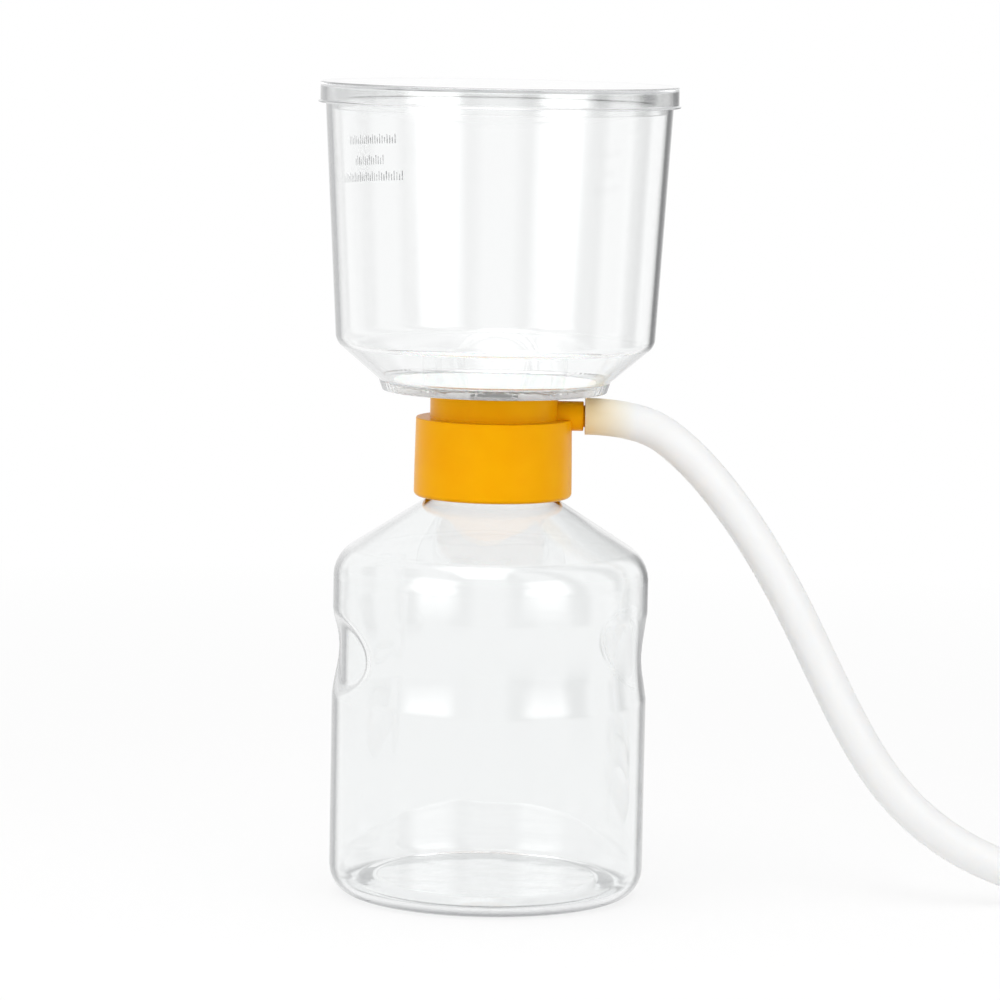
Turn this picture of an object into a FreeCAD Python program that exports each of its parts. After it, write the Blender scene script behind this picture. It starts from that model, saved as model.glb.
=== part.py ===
"""A one-litre vacuum filtration unit, in millimetres.

A clear funnel with its lid and filter membrane plugs into an amber neck adapter, which screws
onto the 45 mm neck of a clear receiver bottle. A vacuum hose is pushed onto the adapter's side
port. +Z is up, and the origin is the middle of the bottle's base, on the surface it stands on.
"""
import FreeCAD, Part
import Sketcher
import math
import os

doc = FreeCAD.newDocument("vacuum_filtration_unit")


# ---------------------------------------------------------------- driving dimensions

DIMENSIONS = {
    # receiver bottle
    "body_radius": 56.3,
    "body_height": 121.3,
    "bottle_wall": 1.8,
    "base_corner": 8.0,
    "foot_width": 3.3,
    "pushup_flank": 5.0,
    "pushup_rise": 4.0,
    "shoulder_rise": 22.7,
    "shoulder_corner": 12.0,
    "neck_radius": 20.9,
    "neck_height": 19.3,
    "neck_wall": 2.2,
    "neck_fillet": 8.0,
    # grip of the bottle: a shallow waist all round, and a finger recess on each side
    "waist_drop": 18.8,
    "waist_height": 31.0,
    "waist_depth": 1.4,
    "grip_height": 27.0,
    "grip_rise": 0.5,
    "grip_depth": 4.4,
    "grip_flank": 4.0,
    "grip_angle": 44.0,
    "grip_turn": 15.0,
    # 45 mm neck thread
    "thread_pitch": 4.0,
    "thread_depth": 1.5,
    "thread_root": 2.2,
    "thread_crest": 1.0,
    "thread_top": 3.8,
    "thread_embed": 0.4,
    "neck_turns": 1.75,
    "adapter_turns": 1.5,
    "inner_crest": 0.8,
    "crest_gap": 0.7,
    "root_gap": 0.5,
    "flank_gap": 0.35,
    # neck adapter
    "gasket_thickness": 1.5,
    "gasket_inset": 0.2,
    "web_thickness": 2.0,
    "web_ledge": 8.0,
    "sleeve_wall": 1.8,
    "sleeve_lift": 2.6,
    "coring_gap": 1.5,
    "skirt_wall": 2.0,
    "skirt_draft": 0.4,
    "band_height": 11.0,
    "band_draft": 0.1,
    "ring_corner": 1.6,
    "ring_rise": 6.5,
    "deck_thickness": 2.5,
    "shoulder_gap": 0.5,
    "collar_inset": 1.9,
    "collar_wall": 1.8,
    "collar_rise": 8.2,
    # side port and hose barb
    "port_rise": 1.1,
    "port_radius": 5.3,
    "port_length": 3.7,
    "barb_ease": 0.1,
    "barb_grip": 0.5,
    "barb_wall": 1.4,
    "barb_start": 1.2,
    "barb_length": 3.3,
    "plug_length": 8.0,
    "plug_gap": 0.05,
    # filter base under the membrane
    "boss_thickness": 1.5,
    "boss_overhang": 0.8,
    "plate_thickness": 2.4,
    "plate_gap": 0.2,
    "spigot_radius": 8.0,
    "spigot_bore": 5.5,
    "spigot_taper": 1.0,
    "spigot_drop": 31.5,
    "drain_radius": 9.0,
    "seal_depth": 4.1,
    "seal_wall": 2.4,
    "seal_gap": 0.3,
    "groove_depth": 1.1,
    "groove_width": 1.7,
    "ring_ease": 0.03,
    "rib_height": 0.8,
    "rib_width": 1.2,
    "rib_embed": 0.2,
    "rib_gap": 0.5,
    "rib_split": 22.0,
    # membrane and funnel
    "membrane_thickness": 0.3,
    "membrane_margin": 0.6,
    "clamp_width": 1.2,
    "clamp_thickness": 1.5,
    "funnel_wall": 1.9,
    "flange_wall": 1.6,
    "flange_radius": 40.0,
    "flange_draft": 1.3,
    "flange_height": 3.8,
    "chamfer_rise": 13.2,
    "funnel_radius": 56.75,
    "funnel_flare": 5.2,
    "funnel_height": 90.4,
    # lid
    "lid_thickness": 1.6,
    "lid_wall": 1.2,
    "lid_gap": 0.4,
    "lid_skirt": 5.9,
    "lid_flare": 0.7,
    "flare_height": 1.0,
    "locating_depth": 8.0,
    "locating_wall": 1.4,
    "locating_gap": 0.35,
    # hose
    "hose_radius": 6.6,
    "hose_bore": 4.0,
    "hose_gap": 0.5,
    "hose_lift": 0.1,
    "coil_layers": 2.0,
    "coil_radius": 66.0,
    "coil_distance": 267.0,
    "coil_forward": 8.0,
    # how far a cutting shape stands out past what it cuts
    "overcut": 4.0,
}

GRIPS = 2
BARB_RIDGES = 3
OUTER_RIBS = 48
INNER_RIBS = 12
AXIS_LINE_LENGTH = 80.0

sheet = doc.addObject("Spreadsheet::Sheet", "Sizes")
for row, (alias, value) in enumerate(DIMENSIONS.items(), start=1):
    sheet.set(f"A{row}", alias.replace("_", " "))
    sheet.set(f"B{row}", str(value))
    sheet.setAlias(f"B{row}", alias)
doc.recompute()


class Size:
    """A number worked out from the sheet: its value now, and the expression that binds to it."""

    def __init__(self, value, text):
        self.value = value
        self.text = text

    def combine(self, other, sign, value):
        return Size(value, f"({self.text} {sign} {as_size(other).text})")

    def __add__(self, other):
        return self.combine(other, "+", self.value + as_size(other).value)

    def __sub__(self, other):
        return self.combine(other, "-", self.value - as_size(other).value)

    def __mul__(self, other):
        return self.combine(other, "*", self.value * as_size(other).value)

    def __truediv__(self, other):
        return self.combine(other, "/", self.value / as_size(other).value)


def as_size(number):
    return number if isinstance(number, Size) else Size(float(number), str(number))


def size(alias):
    return Size(float(sheet.get(alias)), f"Sizes.{alias}")


def root(number):
    return Size(math.sqrt(number.value), f"sqrt({number.text})")


# ---------------------------------------------------------------- sketches and features

def new_body(label):
    body = doc.addObject("PartDesign::Body", label)
    body.Label = label
    return body


def new_sketch(body, name, role="XZ_Plane"):
    """A sketch on one of the body's own planes: on XZ_Plane, x is the radius and y the height."""
    sketch = body.newObject("Sketcher::SketchObject", name)
    plane = [feature for feature in body.Origin.OriginFeatures if feature.Role == role][0]
    sketch.AttachmentSupport = [(plane, "")]
    sketch.MapMode = "FlatFace"
    return sketch


def pin_point(sketch, geometry, end, x, y):
    """Ties one end of a line to its two distances from the sketch's origin."""
    for kind, distance, axis in (("DistanceX", x, -2), ("DistanceY", y, -1)):
        if abs(distance.value) < 1e-9:
            sketch.addConstraint(Sketcher.Constraint("PointOnObject", geometry, end, axis))
            continue
        index = sketch.addConstraint(Sketcher.Constraint(kind, -1, 1, geometry, end, distance.value))
        name = f"{kind}_{geometry}_{end}"
        sketch.renameConstraint(index, name)
        sketch.setExpression(f"Constraints.{name}", distance.text)


def arc_between(start, end, radius, side):
    """The shorter arc from start to end, its centre on the left (side 1) or the right (side -1)."""
    along = end - start
    across = FreeCAD.Vector(-along.y, along.x, 0).normalize() * side
    depth = math.sqrt(radius ** 2 - (along.Length / 2) ** 2)
    centre = start + along * 0.5 + across * depth
    first, last = (start, end) if side > 0 else (end, start)
    angles = [math.atan2(point.y - centre.y, point.x - centre.x) for point in (first, last)]
    if angles[1] < angles[0]:
        angles[1] += 2 * math.pi
    circle = Part.Circle(centre, FreeCAD.Vector(0, 0, 1), radius)
    return Part.ArcOfCircle(circle, *angles)


def outline(sketch, corners):
    """A closed outline through corners, each (x, y), or (x, y, radius, side) where an arc follows."""
    corners = [tuple(as_size(number) for number in corner[:3]) + corner[3:] for corner in corners]
    points = [FreeCAD.Vector(corner[0].value, corner[1].value, 0) for corner in corners]
    ends = []
    for index, corner in enumerate(corners):
        start, end = points[index], points[(index + 1) % len(points)]
        if len(corner) == 2:
            ends.append((sketch.addGeometry(Part.LineSegment(start, end)), 1, 2))
            continue
        radius, side = corner[2:]
        geometry = sketch.addGeometry(arc_between(start, end, radius.value, side))
        ends.append((geometry, 1, 2) if side > 0 else (geometry, 2, 1))
    for index, (geometry, first, last) in enumerate(ends):
        following, next_first, _ = ends[(index + 1) % len(ends)]
        sketch.addConstraint(Sketcher.Constraint("Coincident", geometry, last, following, next_first))
    for corner, (geometry, first, last) in zip(corners, ends):
        pin_point(sketch, geometry, first, corner[0], corner[1])
        if len(corner) == 4:
            index = sketch.addConstraint(Sketcher.Constraint("Radius", geometry, corner[2].value))
            sketch.renameConstraint(index, f"Radius_{geometry}")
            sketch.setExpression(f"Constraints.Radius_{geometry}", corner[2].text)


def turn(body, name, corners, kind="PartDesign::Revolution", angles=None, axis_height=None):
    """Revolves an outline about the Z axis, or about a level line at axis_height.

    angles are how far it turns each way from the XZ plane; without them it goes all round.
    """
    sketch = new_sketch(body, f"{name}_outline")
    outline(sketch, corners)
    axis = "V_Axis"
    if axis_height is not None:
        line = sketch.addGeometry(Part.LineSegment(
            FreeCAD.Vector(0, axis_height.value, 0),
            FreeCAD.Vector(AXIS_LINE_LENGTH, axis_height.value, 0)), True)
        sketch.addConstraint(Sketcher.Constraint("Horizontal", line))
        pin_point(sketch, line, 1, as_size(0), axis_height)
        axis = "Axis0"
    feature = body.newObject(kind, name)
    feature.Profile = sketch
    feature.ReferenceAxis = (sketch, [axis])
    feature.Angle = 360
    if angles is not None:
        feature.Type = "TwoAngles"
        feature.setExpression("Angle", angles[0].text)
        feature.setExpression("Angle2", angles[1].text)
    body.Tip = feature
    doc.recompute()
    return feature


def repeat(body, feature, name, count):
    """Copies a feature evenly about the Z axis."""
    pattern = body.newObject("PartDesign::PolarPattern", name)
    pattern.Originals = [feature]
    pattern.Axis = (feature.Profile[0], ["V_Axis"])
    pattern.Angle = 360
    pattern.Occurrences = count
    body.Tip = pattern
    doc.recompute()
    return pattern


def round_edge(body, name, radius, height, rounding):
    """Rounds the circular edge that has this radius and height."""
    base = body.Tip
    found = [
        f"Edge{number}" for number, edge in enumerate(base.Shape.Edges, start=1)
        if isinstance(edge.Curve, Part.Circle)
        and abs(edge.Curve.Radius - radius.value) < 1e-4
        and abs(edge.Curve.Center.z - height.value) < 1e-4
        and abs(edge.Curve.Axis.z) > 0.999
    ]
    feature = body.newObject("PartDesign::Fillet", name)
    feature.Base = (base, found)
    feature.setExpression("Radius", rounding.text)
    body.Tip = feature
    doc.recompute()
    return feature


def thread(body, name, corners, turns):
    """Winds an outline up a right-hand helix of the neck's pitch."""
    sketch = new_sketch(body, f"{name}_outline")
    outline(sketch, corners)
    feature = body.newObject("PartDesign::AdditiveHelix", name)
    feature.Profile = sketch
    feature.ReferenceAxis = (sketch, ["V_Axis"])
    feature.Mode = "pitch-turns-angle"
    feature.setExpression("Pitch", "Sizes.thread_pitch")
    feature.setExpression("Turns", turns.text)
    body.Tip = feature
    doc.recompute()
    return feature


# ---------------------------------------------------------------- heights that pieces share

waist_high = size("body_height") - size("waist_drop")
waist_middle = waist_high - size("waist_height") / 2
grip_middle = waist_middle + size("grip_rise")
neck_base = size("body_height") + size("shoulder_rise")
rim = neck_base + size("neck_height")
neck_thread_low = rim - size("thread_top") - size("thread_pitch") * size("neck_turns")
web_low = rim + size("gasket_thickness")
web_high = web_low + size("web_thickness")
ring_top = web_low + size("ring_rise")
collar_top = ring_top + size("collar_rise")
port_height = ring_top + size("port_rise")
plate_low = collar_top + size("boss_thickness")
plate_high = plate_low + size("plate_thickness")
membrane_low = plate_high + size("rib_height")
membrane_high = membrane_low + size("membrane_thickness")
flange_top = plate_low + size("flange_height")
funnel_corner = flange_top + size("chamfer_rise")
funnel_rim = funnel_corner + size("funnel_height")


# ---------------------------------------------------------------- radii that pieces share

shoulder_slope = size("shoulder_rise") / (size("body_radius") - size("neck_radius"))
foot_radius = size("body_radius") - size("base_corner") - size("foot_width")
pushup_radius = foot_radius - size("pushup_flank")
sleeve_bore = size("neck_radius") + size("thread_depth") + size("root_gap")
sleeve_outer = sleeve_bore + size("sleeve_wall")
skirt_inner = sleeve_outer + size("coring_gap")
ring_low_radius = skirt_inner + size("skirt_wall")
ring_top_radius = ring_low_radius - size("skirt_draft")
collar_radius = sleeve_outer - size("collar_inset")
collar_bore = collar_radius - size("collar_wall")
web_hole = collar_bore - size("web_ledge")
port_reach = ring_low_radius + size("port_length")
barb_root = size("hose_bore") - size("barb_ease")
barb_crest = size("hose_bore") + size("barb_grip")
port_bore = barb_root - size("barb_wall")
seal_radius = collar_bore - size("seal_gap")
groove_floor = seal_radius - size("groove_depth")
groove_height = collar_top - size("seal_depth") / 2
flange_top_radius = size("flange_radius") + size("flange_draft")
flange_bore = size("flange_radius") - size("flange_wall")
plate_radius = flange_bore - size("plate_gap")
membrane_radius = plate_radius - size("membrane_margin")
rim_radius = size("funnel_radius") + size("funnel_flare")


# ---------------------------------------------------------------- bottle

DEGREES_PER_RADIAN = 180 / math.pi


def bottle_outline(radius, base, neck, cone_drop, top, waist_offset):
    """Half of the bottle's section: its outside, or its hollow when the sizes are a wall less."""
    half = size("waist_height") / 2
    depth = size("waist_depth")
    waist_radius = (half * half + depth * depth) / (depth * 2) + waist_offset
    reach = root(depth * (waist_radius * 2 - depth))
    cone_low = size("body_height") + (size("body_radius") - radius) * shoulder_slope - cone_drop
    cone_high = neck_base + (size("neck_radius") - neck) * shoulder_slope - cone_drop
    return [
        (0, base + size("pushup_rise")),
        (pushup_radius, base + size("pushup_rise")),
        (foot_radius, base),
        (radius, base),
        (radius, waist_middle - reach, waist_radius, -1),
        (radius, waist_middle + reach),
        (radius, cone_low),
        (neck, cone_high),
        (neck, top),
        (0, top),
    ], cone_low, cone_high


def grip_outline(radius, spread):
    """Section of a finger recess: a floor and two sloping flanks, open to the outside."""
    flank = size("grip_flank") / size("grip_depth")
    outside = size("body_radius") + size("overcut")
    rise = (outside - radius) * flank
    half = size("grip_height") / 2 - size("grip_flank") + spread
    low, high = grip_middle - half, grip_middle + half
    return [(radius, low), (outside, low - rise), (outside, high + rise), (radius, high)]


def make_bottle():
    outside = new_body("bottle_outside")
    nothing = as_size(0)
    corners, cone_low, cone_high = bottle_outline(
        size("body_radius"), nothing, size("neck_radius"), nothing, rim, nothing)
    turn(outside, "outside_turned", corners)
    round_edge(outside, "outside_base", size("body_radius"), nothing, size("base_corner"))
    round_edge(outside, "outside_shoulder", size("body_radius"), cone_low, size("shoulder_corner"))
    round_edge(outside, "outside_neck", size("neck_radius"), cone_high, size("neck_fillet"))
    floor = size("body_radius") - size("grip_depth")
    half_grip = size("grip_angle") / 2
    recess = turn(outside, "outside_grip", grip_outline(floor, nothing), "PartDesign::Groove",
                  (half_grip + size("grip_turn"), half_grip - size("grip_turn")))
    repeat(outside, recess, "outside_grips", GRIPS)

    inner_edge = size("neck_radius") - size("thread_embed")
    crest = size("neck_radius") + size("thread_depth")
    half_root = size("thread_root") / 2
    half_crest = size("thread_crest") / 2
    thread(outside, "neck_thread", [
        (inner_edge, neck_thread_low - half_root),
        (size("neck_radius"), neck_thread_low - half_root),
        (crest, neck_thread_low - half_crest),
        (crest, neck_thread_low + half_crest),
        (size("neck_radius"), neck_thread_low + half_root),
        (inner_edge, neck_thread_low + half_root),
    ], size("neck_turns"))

    hollow = new_body("bottle_hollow")
    wall = size("bottle_wall")
    inner_radius = size("body_radius") - wall
    cone_drop = wall * root(shoulder_slope * shoulder_slope + 1)
    neck_bore = size("neck_radius") - size("neck_wall")
    corners, cone_low, cone_high = bottle_outline(
        inner_radius, wall, neck_bore, cone_drop, rim + size("overcut"), wall)
    turn(hollow, "hollow_turned", corners)
    round_edge(hollow, "hollow_base", inner_radius, wall, size("base_corner") - wall)
    round_edge(hollow, "hollow_shoulder", inner_radius, cone_low, size("shoulder_corner") - wall)
    round_edge(hollow, "hollow_neck", neck_bore, cone_high, size("neck_fillet") + size("neck_wall"))
    flank = size("grip_flank") / size("grip_depth")
    spread = wall * (root(flank * flank + 1) - flank)
    half_grip = half_grip + wall * DEGREES_PER_RADIAN / floor
    recess = turn(hollow, "hollow_grip", grip_outline(floor - wall, spread), "PartDesign::Groove",
                  (half_grip + size("grip_turn"), half_grip - size("grip_turn")))
    repeat(hollow, recess, "hollow_grips", GRIPS)

    bottle = doc.addObject("Part::Cut", "bottle")
    bottle.Base = outside
    bottle.Tool = hollow
    bottle.Label = "bottle"
    doc.recompute()
    return bottle


# ---------------------------------------------------------------- neck gasket and adapter

def make_neck_gasket():
    body = new_body("neck_gasket")
    inner = size("neck_radius") - size("neck_wall") + size("gasket_inset")
    outer = sleeve_bore - size("root_gap")
    turn(body, "gasket_turned", [(inner, rim), (outer, rim), (outer, web_low), (inner, web_low)])
    return body


def make_vacuum_adapter():
    body = new_body("vacuum_adapter")
    shoulder_there = neck_base - (sleeve_bore - size("neck_radius")) * shoulder_slope
    ring_low = shoulder_there + size("shoulder_gap")
    sleeve_low = ring_low + size("sleeve_lift")
    deck_low = ring_top - size("deck_thickness")
    turn(body, "adapter_turned", [
        (web_hole, web_low),
        (sleeve_bore, web_low),
        (sleeve_bore, sleeve_low),
        (sleeve_outer, sleeve_low),
        (sleeve_outer, deck_low),
        (skirt_inner, deck_low),
        (skirt_inner, ring_low),
        (ring_low_radius, ring_low),
        (ring_low_radius - size("band_draft"), ring_low + size("band_height")),
        (ring_top_radius, ring_top),
        (collar_radius, ring_top),
        (collar_radius, collar_top),
        (collar_bore, collar_top),
        (collar_bore, web_high),
        (web_hole, web_high),
    ])
    round_edge(body, "ring_corner", ring_low_radius, ring_low, size("ring_corner"))

    inner_end = collar_radius - size("collar_wall") / 2
    corners = [
        (inner_end, port_height),
        (inner_end, port_height + size("port_radius")),
        (port_reach, port_height + size("port_radius")),
        (port_reach, port_height + barb_root),
    ]
    for ridge in range(BARB_RIDGES):
        start = port_reach + size("barb_start") + size("barb_length") * ridge
        corners.append((start, port_height + barb_root))
        corners.append((start, port_height + barb_crest))
    tip = port_reach + size("barb_start") + size("barb_length") * BARB_RIDGES
    corners.append((tip, port_height + barb_root))
    corners.append((tip, port_height))
    turn(body, "port_turned", corners, axis_height=port_height)
    inside, outside = collar_bore - size("overcut"), tip + size("overcut")
    turn(body, "port_bore", [
        (inside, port_height),
        (outside, port_height),
        (outside, port_height + port_bore),
        (inside, port_height + port_bore),
    ], "PartDesign::Groove", axis_height=port_height)

    crest = size("neck_radius") + size("crest_gap")
    steep = (size("thread_root") - size("thread_crest")) / (size("thread_depth") * 2)
    half_crest = size("inner_crest") / 2
    half_root = half_crest + (sleeve_bore - crest) * steep
    neck_half = size("thread_root") / 2 - (crest - size("neck_radius")) * steep
    low = neck_thread_low - neck_half - half_crest - size("flank_gap")
    outer_edge = sleeve_bore + size("thread_embed")
    thread(body, "adapter_thread", [
        (crest, low - half_crest),
        (sleeve_bore, low - half_root),
        (outer_edge, low - half_root),
        (outer_edge, low + half_root),
        (sleeve_bore, low + half_root),
        (crest, low + half_crest),
    ], size("adapter_turns"))
    return body


def make_port_plug():
    """Cotton plug that keeps the vacuum line clean."""
    body = new_body("port_cotton_plug")
    start, end = collar_radius, collar_radius + size("plug_length")
    top = port_height + port_bore - size("plug_gap")
    turn(body, "plug_turned", [(start, port_height), (end, port_height), (end, top), (start, top)],
         axis_height=port_height)
    return body


# ---------------------------------------------------------------- filter base, seal and membrane

def make_filter_base():
    body = new_body("filter_base")
    boss = collar_radius + size("boss_overhang")
    seal_low = collar_top - size("seal_depth")
    half_groove = size("groove_width") / 2
    spigot_low = plate_low - size("spigot_drop")
    turn(body, "base_turned", [
        (size("spigot_bore"), spigot_low),
        (size("spigot_radius") - size("spigot_taper"), spigot_low),
        (size("spigot_radius"), collar_top),
        (seal_radius - size("seal_wall"), collar_top),
        (seal_radius - size("seal_wall"), seal_low),
        (seal_radius, seal_low),
        (seal_radius, groove_height - half_groove),
        (groove_floor, groove_height - half_groove),
        (groove_floor, groove_height + half_groove),
        (seal_radius, groove_height + half_groove),
        (seal_radius, collar_top),
        (boss, collar_top),
        (boss, plate_low),
        (plate_radius, plate_low),
        (plate_radius, plate_high),
        (size("drain_radius"), plate_high),
        (size("spigot_bore"), plate_low),
    ])
    outer_rib = rib(body, "outer_rib", size("rib_split"), membrane_radius)
    repeat(body, outer_rib, "outer_ribs", OUTER_RIBS)
    inner_rib = rib(body, "inner_rib", size("drain_radius") + size("rib_gap"),
                    size("rib_split") + size("rib_gap"))
    repeat(body, inner_rib, "inner_ribs", INNER_RIBS)
    return body


def rib(body, name, inner, outer):
    """A rib that holds the membrane off the plate."""
    sketch = new_sketch(body, f"{name}_outline")
    outline(sketch, [
        (inner, plate_high - size("rib_embed")),
        (outer, plate_high - size("rib_embed")),
        (outer, membrane_low),
        (inner, membrane_low),
    ])
    feature = body.newObject("PartDesign::Pad", name)
    feature.Profile = sketch
    feature.SideType = "Symmetric"
    feature.setExpression("Length", "Sizes.rib_width")
    body.Tip = feature
    doc.recompute()
    return feature


def make_seal_ring():
    ring = doc.addObject("Part::Torus", "base_seal_ring")
    ring.Label = "base_seal_ring"
    section = (collar_bore - groove_floor) / 2 - size("ring_ease")
    middle = (collar_bore + groove_floor) / 2
    ring.setExpression("Radius1", middle.text)
    ring.setExpression("Radius2", section.text)
    ring.setExpression("Placement.Base.z", groove_height.text)
    return ring


def make_membrane():
    disc = doc.addObject("Part::Cylinder", "filter_membrane")
    disc.Label = "filter_membrane"
    disc.setExpression("Radius", membrane_radius.text)
    disc.setExpression("Height", "Sizes.membrane_thickness")
    disc.setExpression("Placement.Base.z", membrane_low.text)
    return disc


# ---------------------------------------------------------------- funnel and lid

def make_funnel():
    body = new_body("funnel")
    wall = size("funnel_wall")
    slope = size("chamfer_rise") / (size("funnel_radius") - flange_top_radius)
    lift = wall * root(slope * slope + 1)
    inner_corner = size("funnel_radius") - wall
    corner_height = flange_top + (inner_corner - flange_top_radius) * slope + lift
    clamp_top = membrane_high + size("clamp_thickness")
    clamp_outer = flange_top_radius + (clamp_top - flange_top - lift) / slope
    clamp_inner = membrane_radius - size("clamp_width")
    turn(body, "funnel_turned", [
        (size("flange_radius"), plate_low),
        (flange_top_radius, flange_top),
        (size("funnel_radius"), funnel_corner),
        (rim_radius, funnel_rim),
        (rim_radius - wall, funnel_rim),
        (inner_corner, corner_height),
        (clamp_outer, clamp_top),
        (clamp_inner, clamp_top),
        (clamp_inner, membrane_high),
        (flange_bore, membrane_high),
        (flange_bore, plate_low),
    ])
    return body


def make_lid():
    body = new_body("lid")
    lid_inner = rim_radius + size("lid_gap")
    lid_outer = lid_inner + size("lid_wall")
    foot_outer = lid_outer + size("lid_flare")
    skirt_low = funnel_rim - size("lid_skirt")
    top = funnel_rim + size("lid_thickness")
    draft = size("funnel_flare") / size("funnel_height")
    wall_there = rim_radius - size("funnel_wall") - draft * size("locating_depth")
    ring_outer = wall_there - size("locating_gap")
    ring_inner = ring_outer - size("locating_wall")
    ring_low = funnel_rim - size("locating_depth")
    turn(body, "lid_turned", [
        (0, funnel_rim),
        (ring_inner, funnel_rim),
        (ring_inner, ring_low),
        (ring_outer, ring_low),
        (ring_outer, funnel_rim),
        (lid_inner, funnel_rim),
        (lid_inner, skirt_low),
        (foot_outer, skirt_low),
        (foot_outer, skirt_low + size("flare_height") / 2),
        (lid_outer, skirt_low + size("flare_height")),
        (lid_outer, top),
        (0, top),
    ])
    round_edge(body, "lid_edge", lid_outer, top, size("lid_wall") / 2)
    return body


# ---------------------------------------------------------------- vacuum hose

HOSE_START = (port_reach + size("hose_gap")).value
HOSE_LEVEL = port_height.value
FLOOR_LEVEL = (size("hose_radius") + size("hose_lift")).value
HOSE_ASIDE = -size("coil_forward").value

# straight off the barb, a short bend where it starts to hang, down, and out along the table
HOSE_ROUTE = [
    (HOSE_START, 0, HOSE_LEVEL),
    (52, 0, HOSE_LEVEL),
    (71, 0, 158.9),
    (90, -1, 136),
    (106, -3, 110),
    (119, -5, 84),
    (130, -6.8, 62.5),
    (141.5, -8.4, 44.5),
    (155.5, -9.2, 30),
    (172, -9, 19),
    (190.5, -8.5, 11.5),
    (209, -8.1, 8),
    (225, HOSE_ASIDE, FLOOR_LEVEL),
    (241, HOSE_ASIDE, FLOOR_LEVEL),
]


def hose_path(points):
    """Straight runs joined by tangent arcs, each as large as its two runs allow."""
    points = [FreeCAD.Vector(*point) for point in points]
    edges, here = [], points[0]
    for before, corner, after in zip(points, points[1:], points[2:]):
        back, ahead = before - corner, after - corner
        reach = 0.45 * min(back.Length, ahead.Length)
        half_turn = (math.pi - back.getAngle(ahead)) / 2
        start = corner + back.normalize() * reach
        end = corner + ahead.normalize() * reach
        radius = reach / math.tan(half_turn)
        inward = (back + ahead).normalize()
        middle = corner + inward * (radius / math.cos(half_turn) - radius)
        edges.append(Part.LineSegment(here, start).toShape())
        edges.append(Part.Arc(start, middle, end).toShape())
        turn_angle = math.degrees(2 * half_turn)
        print(f"hose bend at x {corner.x:6.1f}: radius {radius:6.1f} mm, {turn_angle:4.1f} deg")
        here = end
    edges.append(Part.LineSegment(here, points[-1]).toShape())
    return Part.Wire(edges)


def sweep(path, radius):
    start = path.Edges[0].Vertexes[0].Point
    along = path.Edges[0].Vertexes[-1].Point - start
    circle = Part.Wire([Part.Circle(start, along, radius).toShape()])
    return path.makePipeShell([circle], True, False)


def make_hose():
    hose = doc.addObject("Part::Feature", "vacuum_hose")
    hose.Label = "vacuum_hose"
    path = hose_path(HOSE_ROUTE)
    outer, bore = size("hose_radius").value, size("hose_bore").value
    hose.Shape = sweep(path, outer).cut(sweep(path, bore))
    expected = math.pi * (outer ** 2 - bore ** 2) * path.Length
    print(f"hose length {path.Length:.1f} mm, volume {hose.Shape.Volume:.0f} of {expected:.0f} mm3")
    return hose


def make_hose_coil():
    """The outer shape of the coiled stretch: its turns lie on each other on the table."""
    body = new_body("vacuum_hose_coil")
    inner = size("coil_radius") - size("hose_radius")
    outer = size("coil_radius") + size("hose_radius")
    high = (size("hose_radius") * size("coil_layers") + size("hose_lift")) * 2
    cut = size("hose_radius") / 2
    turn(body, "coil_turned", [
        (inner + cut, 0),
        (outer - cut, 0),
        (outer, cut),
        (outer, high - cut),
        (outer - cut, high),
        (inner + cut, high),
        (inner, high - cut),
        (inner, cut),
    ])
    body.setExpression("Placement.Base.x", "Sizes.coil_distance")
    body.setExpression("Placement.Base.y", (size("coil_radius") - size("coil_forward")).text)
    return body


# ---------------------------------------------------------------- build, check and write

PIECES = [
    make_bottle(),
    make_neck_gasket(),
    make_vacuum_adapter(),
    make_port_plug(),
    make_filter_base(),
    make_seal_ring(),
    make_membrane(),
    make_funnel(),
    make_lid(),
    make_hose(),
    make_hose_coil(),
]
doc.recompute()

for thing in doc.Objects:
    if "Invalid" in thing.State or "Error" in thing.State:
        raise RuntimeError(f"{thing.Label} failed: {thing.State}")
for piece in PIECES:
    if piece.Shape.isNull() or not piece.Shape.isValid() or len(piece.Shape.Solids) != 1:
        raise RuntimeError(f"{piece.Label} is not one valid solid")

os.makedirs("parts", exist_ok=True)
for piece in PIECES:
    piece.Shape.exportStep(f"parts/{piece.Label}.step")
    print(f"{piece.Label:18s} {piece.Shape.Volume / 1000:8.2f} cm3")
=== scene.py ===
# %% [markdown]
# # A vacuum filtration unit
# A clear funnel with a lid stands on an amber neck adapter, which is screwed onto a clear
# one-litre bottle. A hose on the adapter's side port draws the air out of the bottle, so that
# the liquid is pulled through the filter disc at the bottom of the funnel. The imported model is
# the frame: every size and place below is read from it or follows it.

# %% Load the frame
import math

import bmesh
import bpy
from mathutils import Matrix, Vector


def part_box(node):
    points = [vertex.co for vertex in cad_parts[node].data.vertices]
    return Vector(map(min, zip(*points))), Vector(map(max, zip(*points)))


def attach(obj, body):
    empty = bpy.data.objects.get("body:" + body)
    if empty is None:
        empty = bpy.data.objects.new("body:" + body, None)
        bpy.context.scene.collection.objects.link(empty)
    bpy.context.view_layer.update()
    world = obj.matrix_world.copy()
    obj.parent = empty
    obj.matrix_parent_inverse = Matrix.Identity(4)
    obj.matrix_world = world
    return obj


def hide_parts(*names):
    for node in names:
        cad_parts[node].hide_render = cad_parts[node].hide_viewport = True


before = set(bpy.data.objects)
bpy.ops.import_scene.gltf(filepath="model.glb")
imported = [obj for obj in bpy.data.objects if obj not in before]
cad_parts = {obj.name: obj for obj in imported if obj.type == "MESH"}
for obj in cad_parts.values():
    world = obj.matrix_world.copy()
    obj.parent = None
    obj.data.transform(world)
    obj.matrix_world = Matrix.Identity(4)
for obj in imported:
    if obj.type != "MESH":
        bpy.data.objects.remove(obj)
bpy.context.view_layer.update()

MM = 0.001

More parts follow.
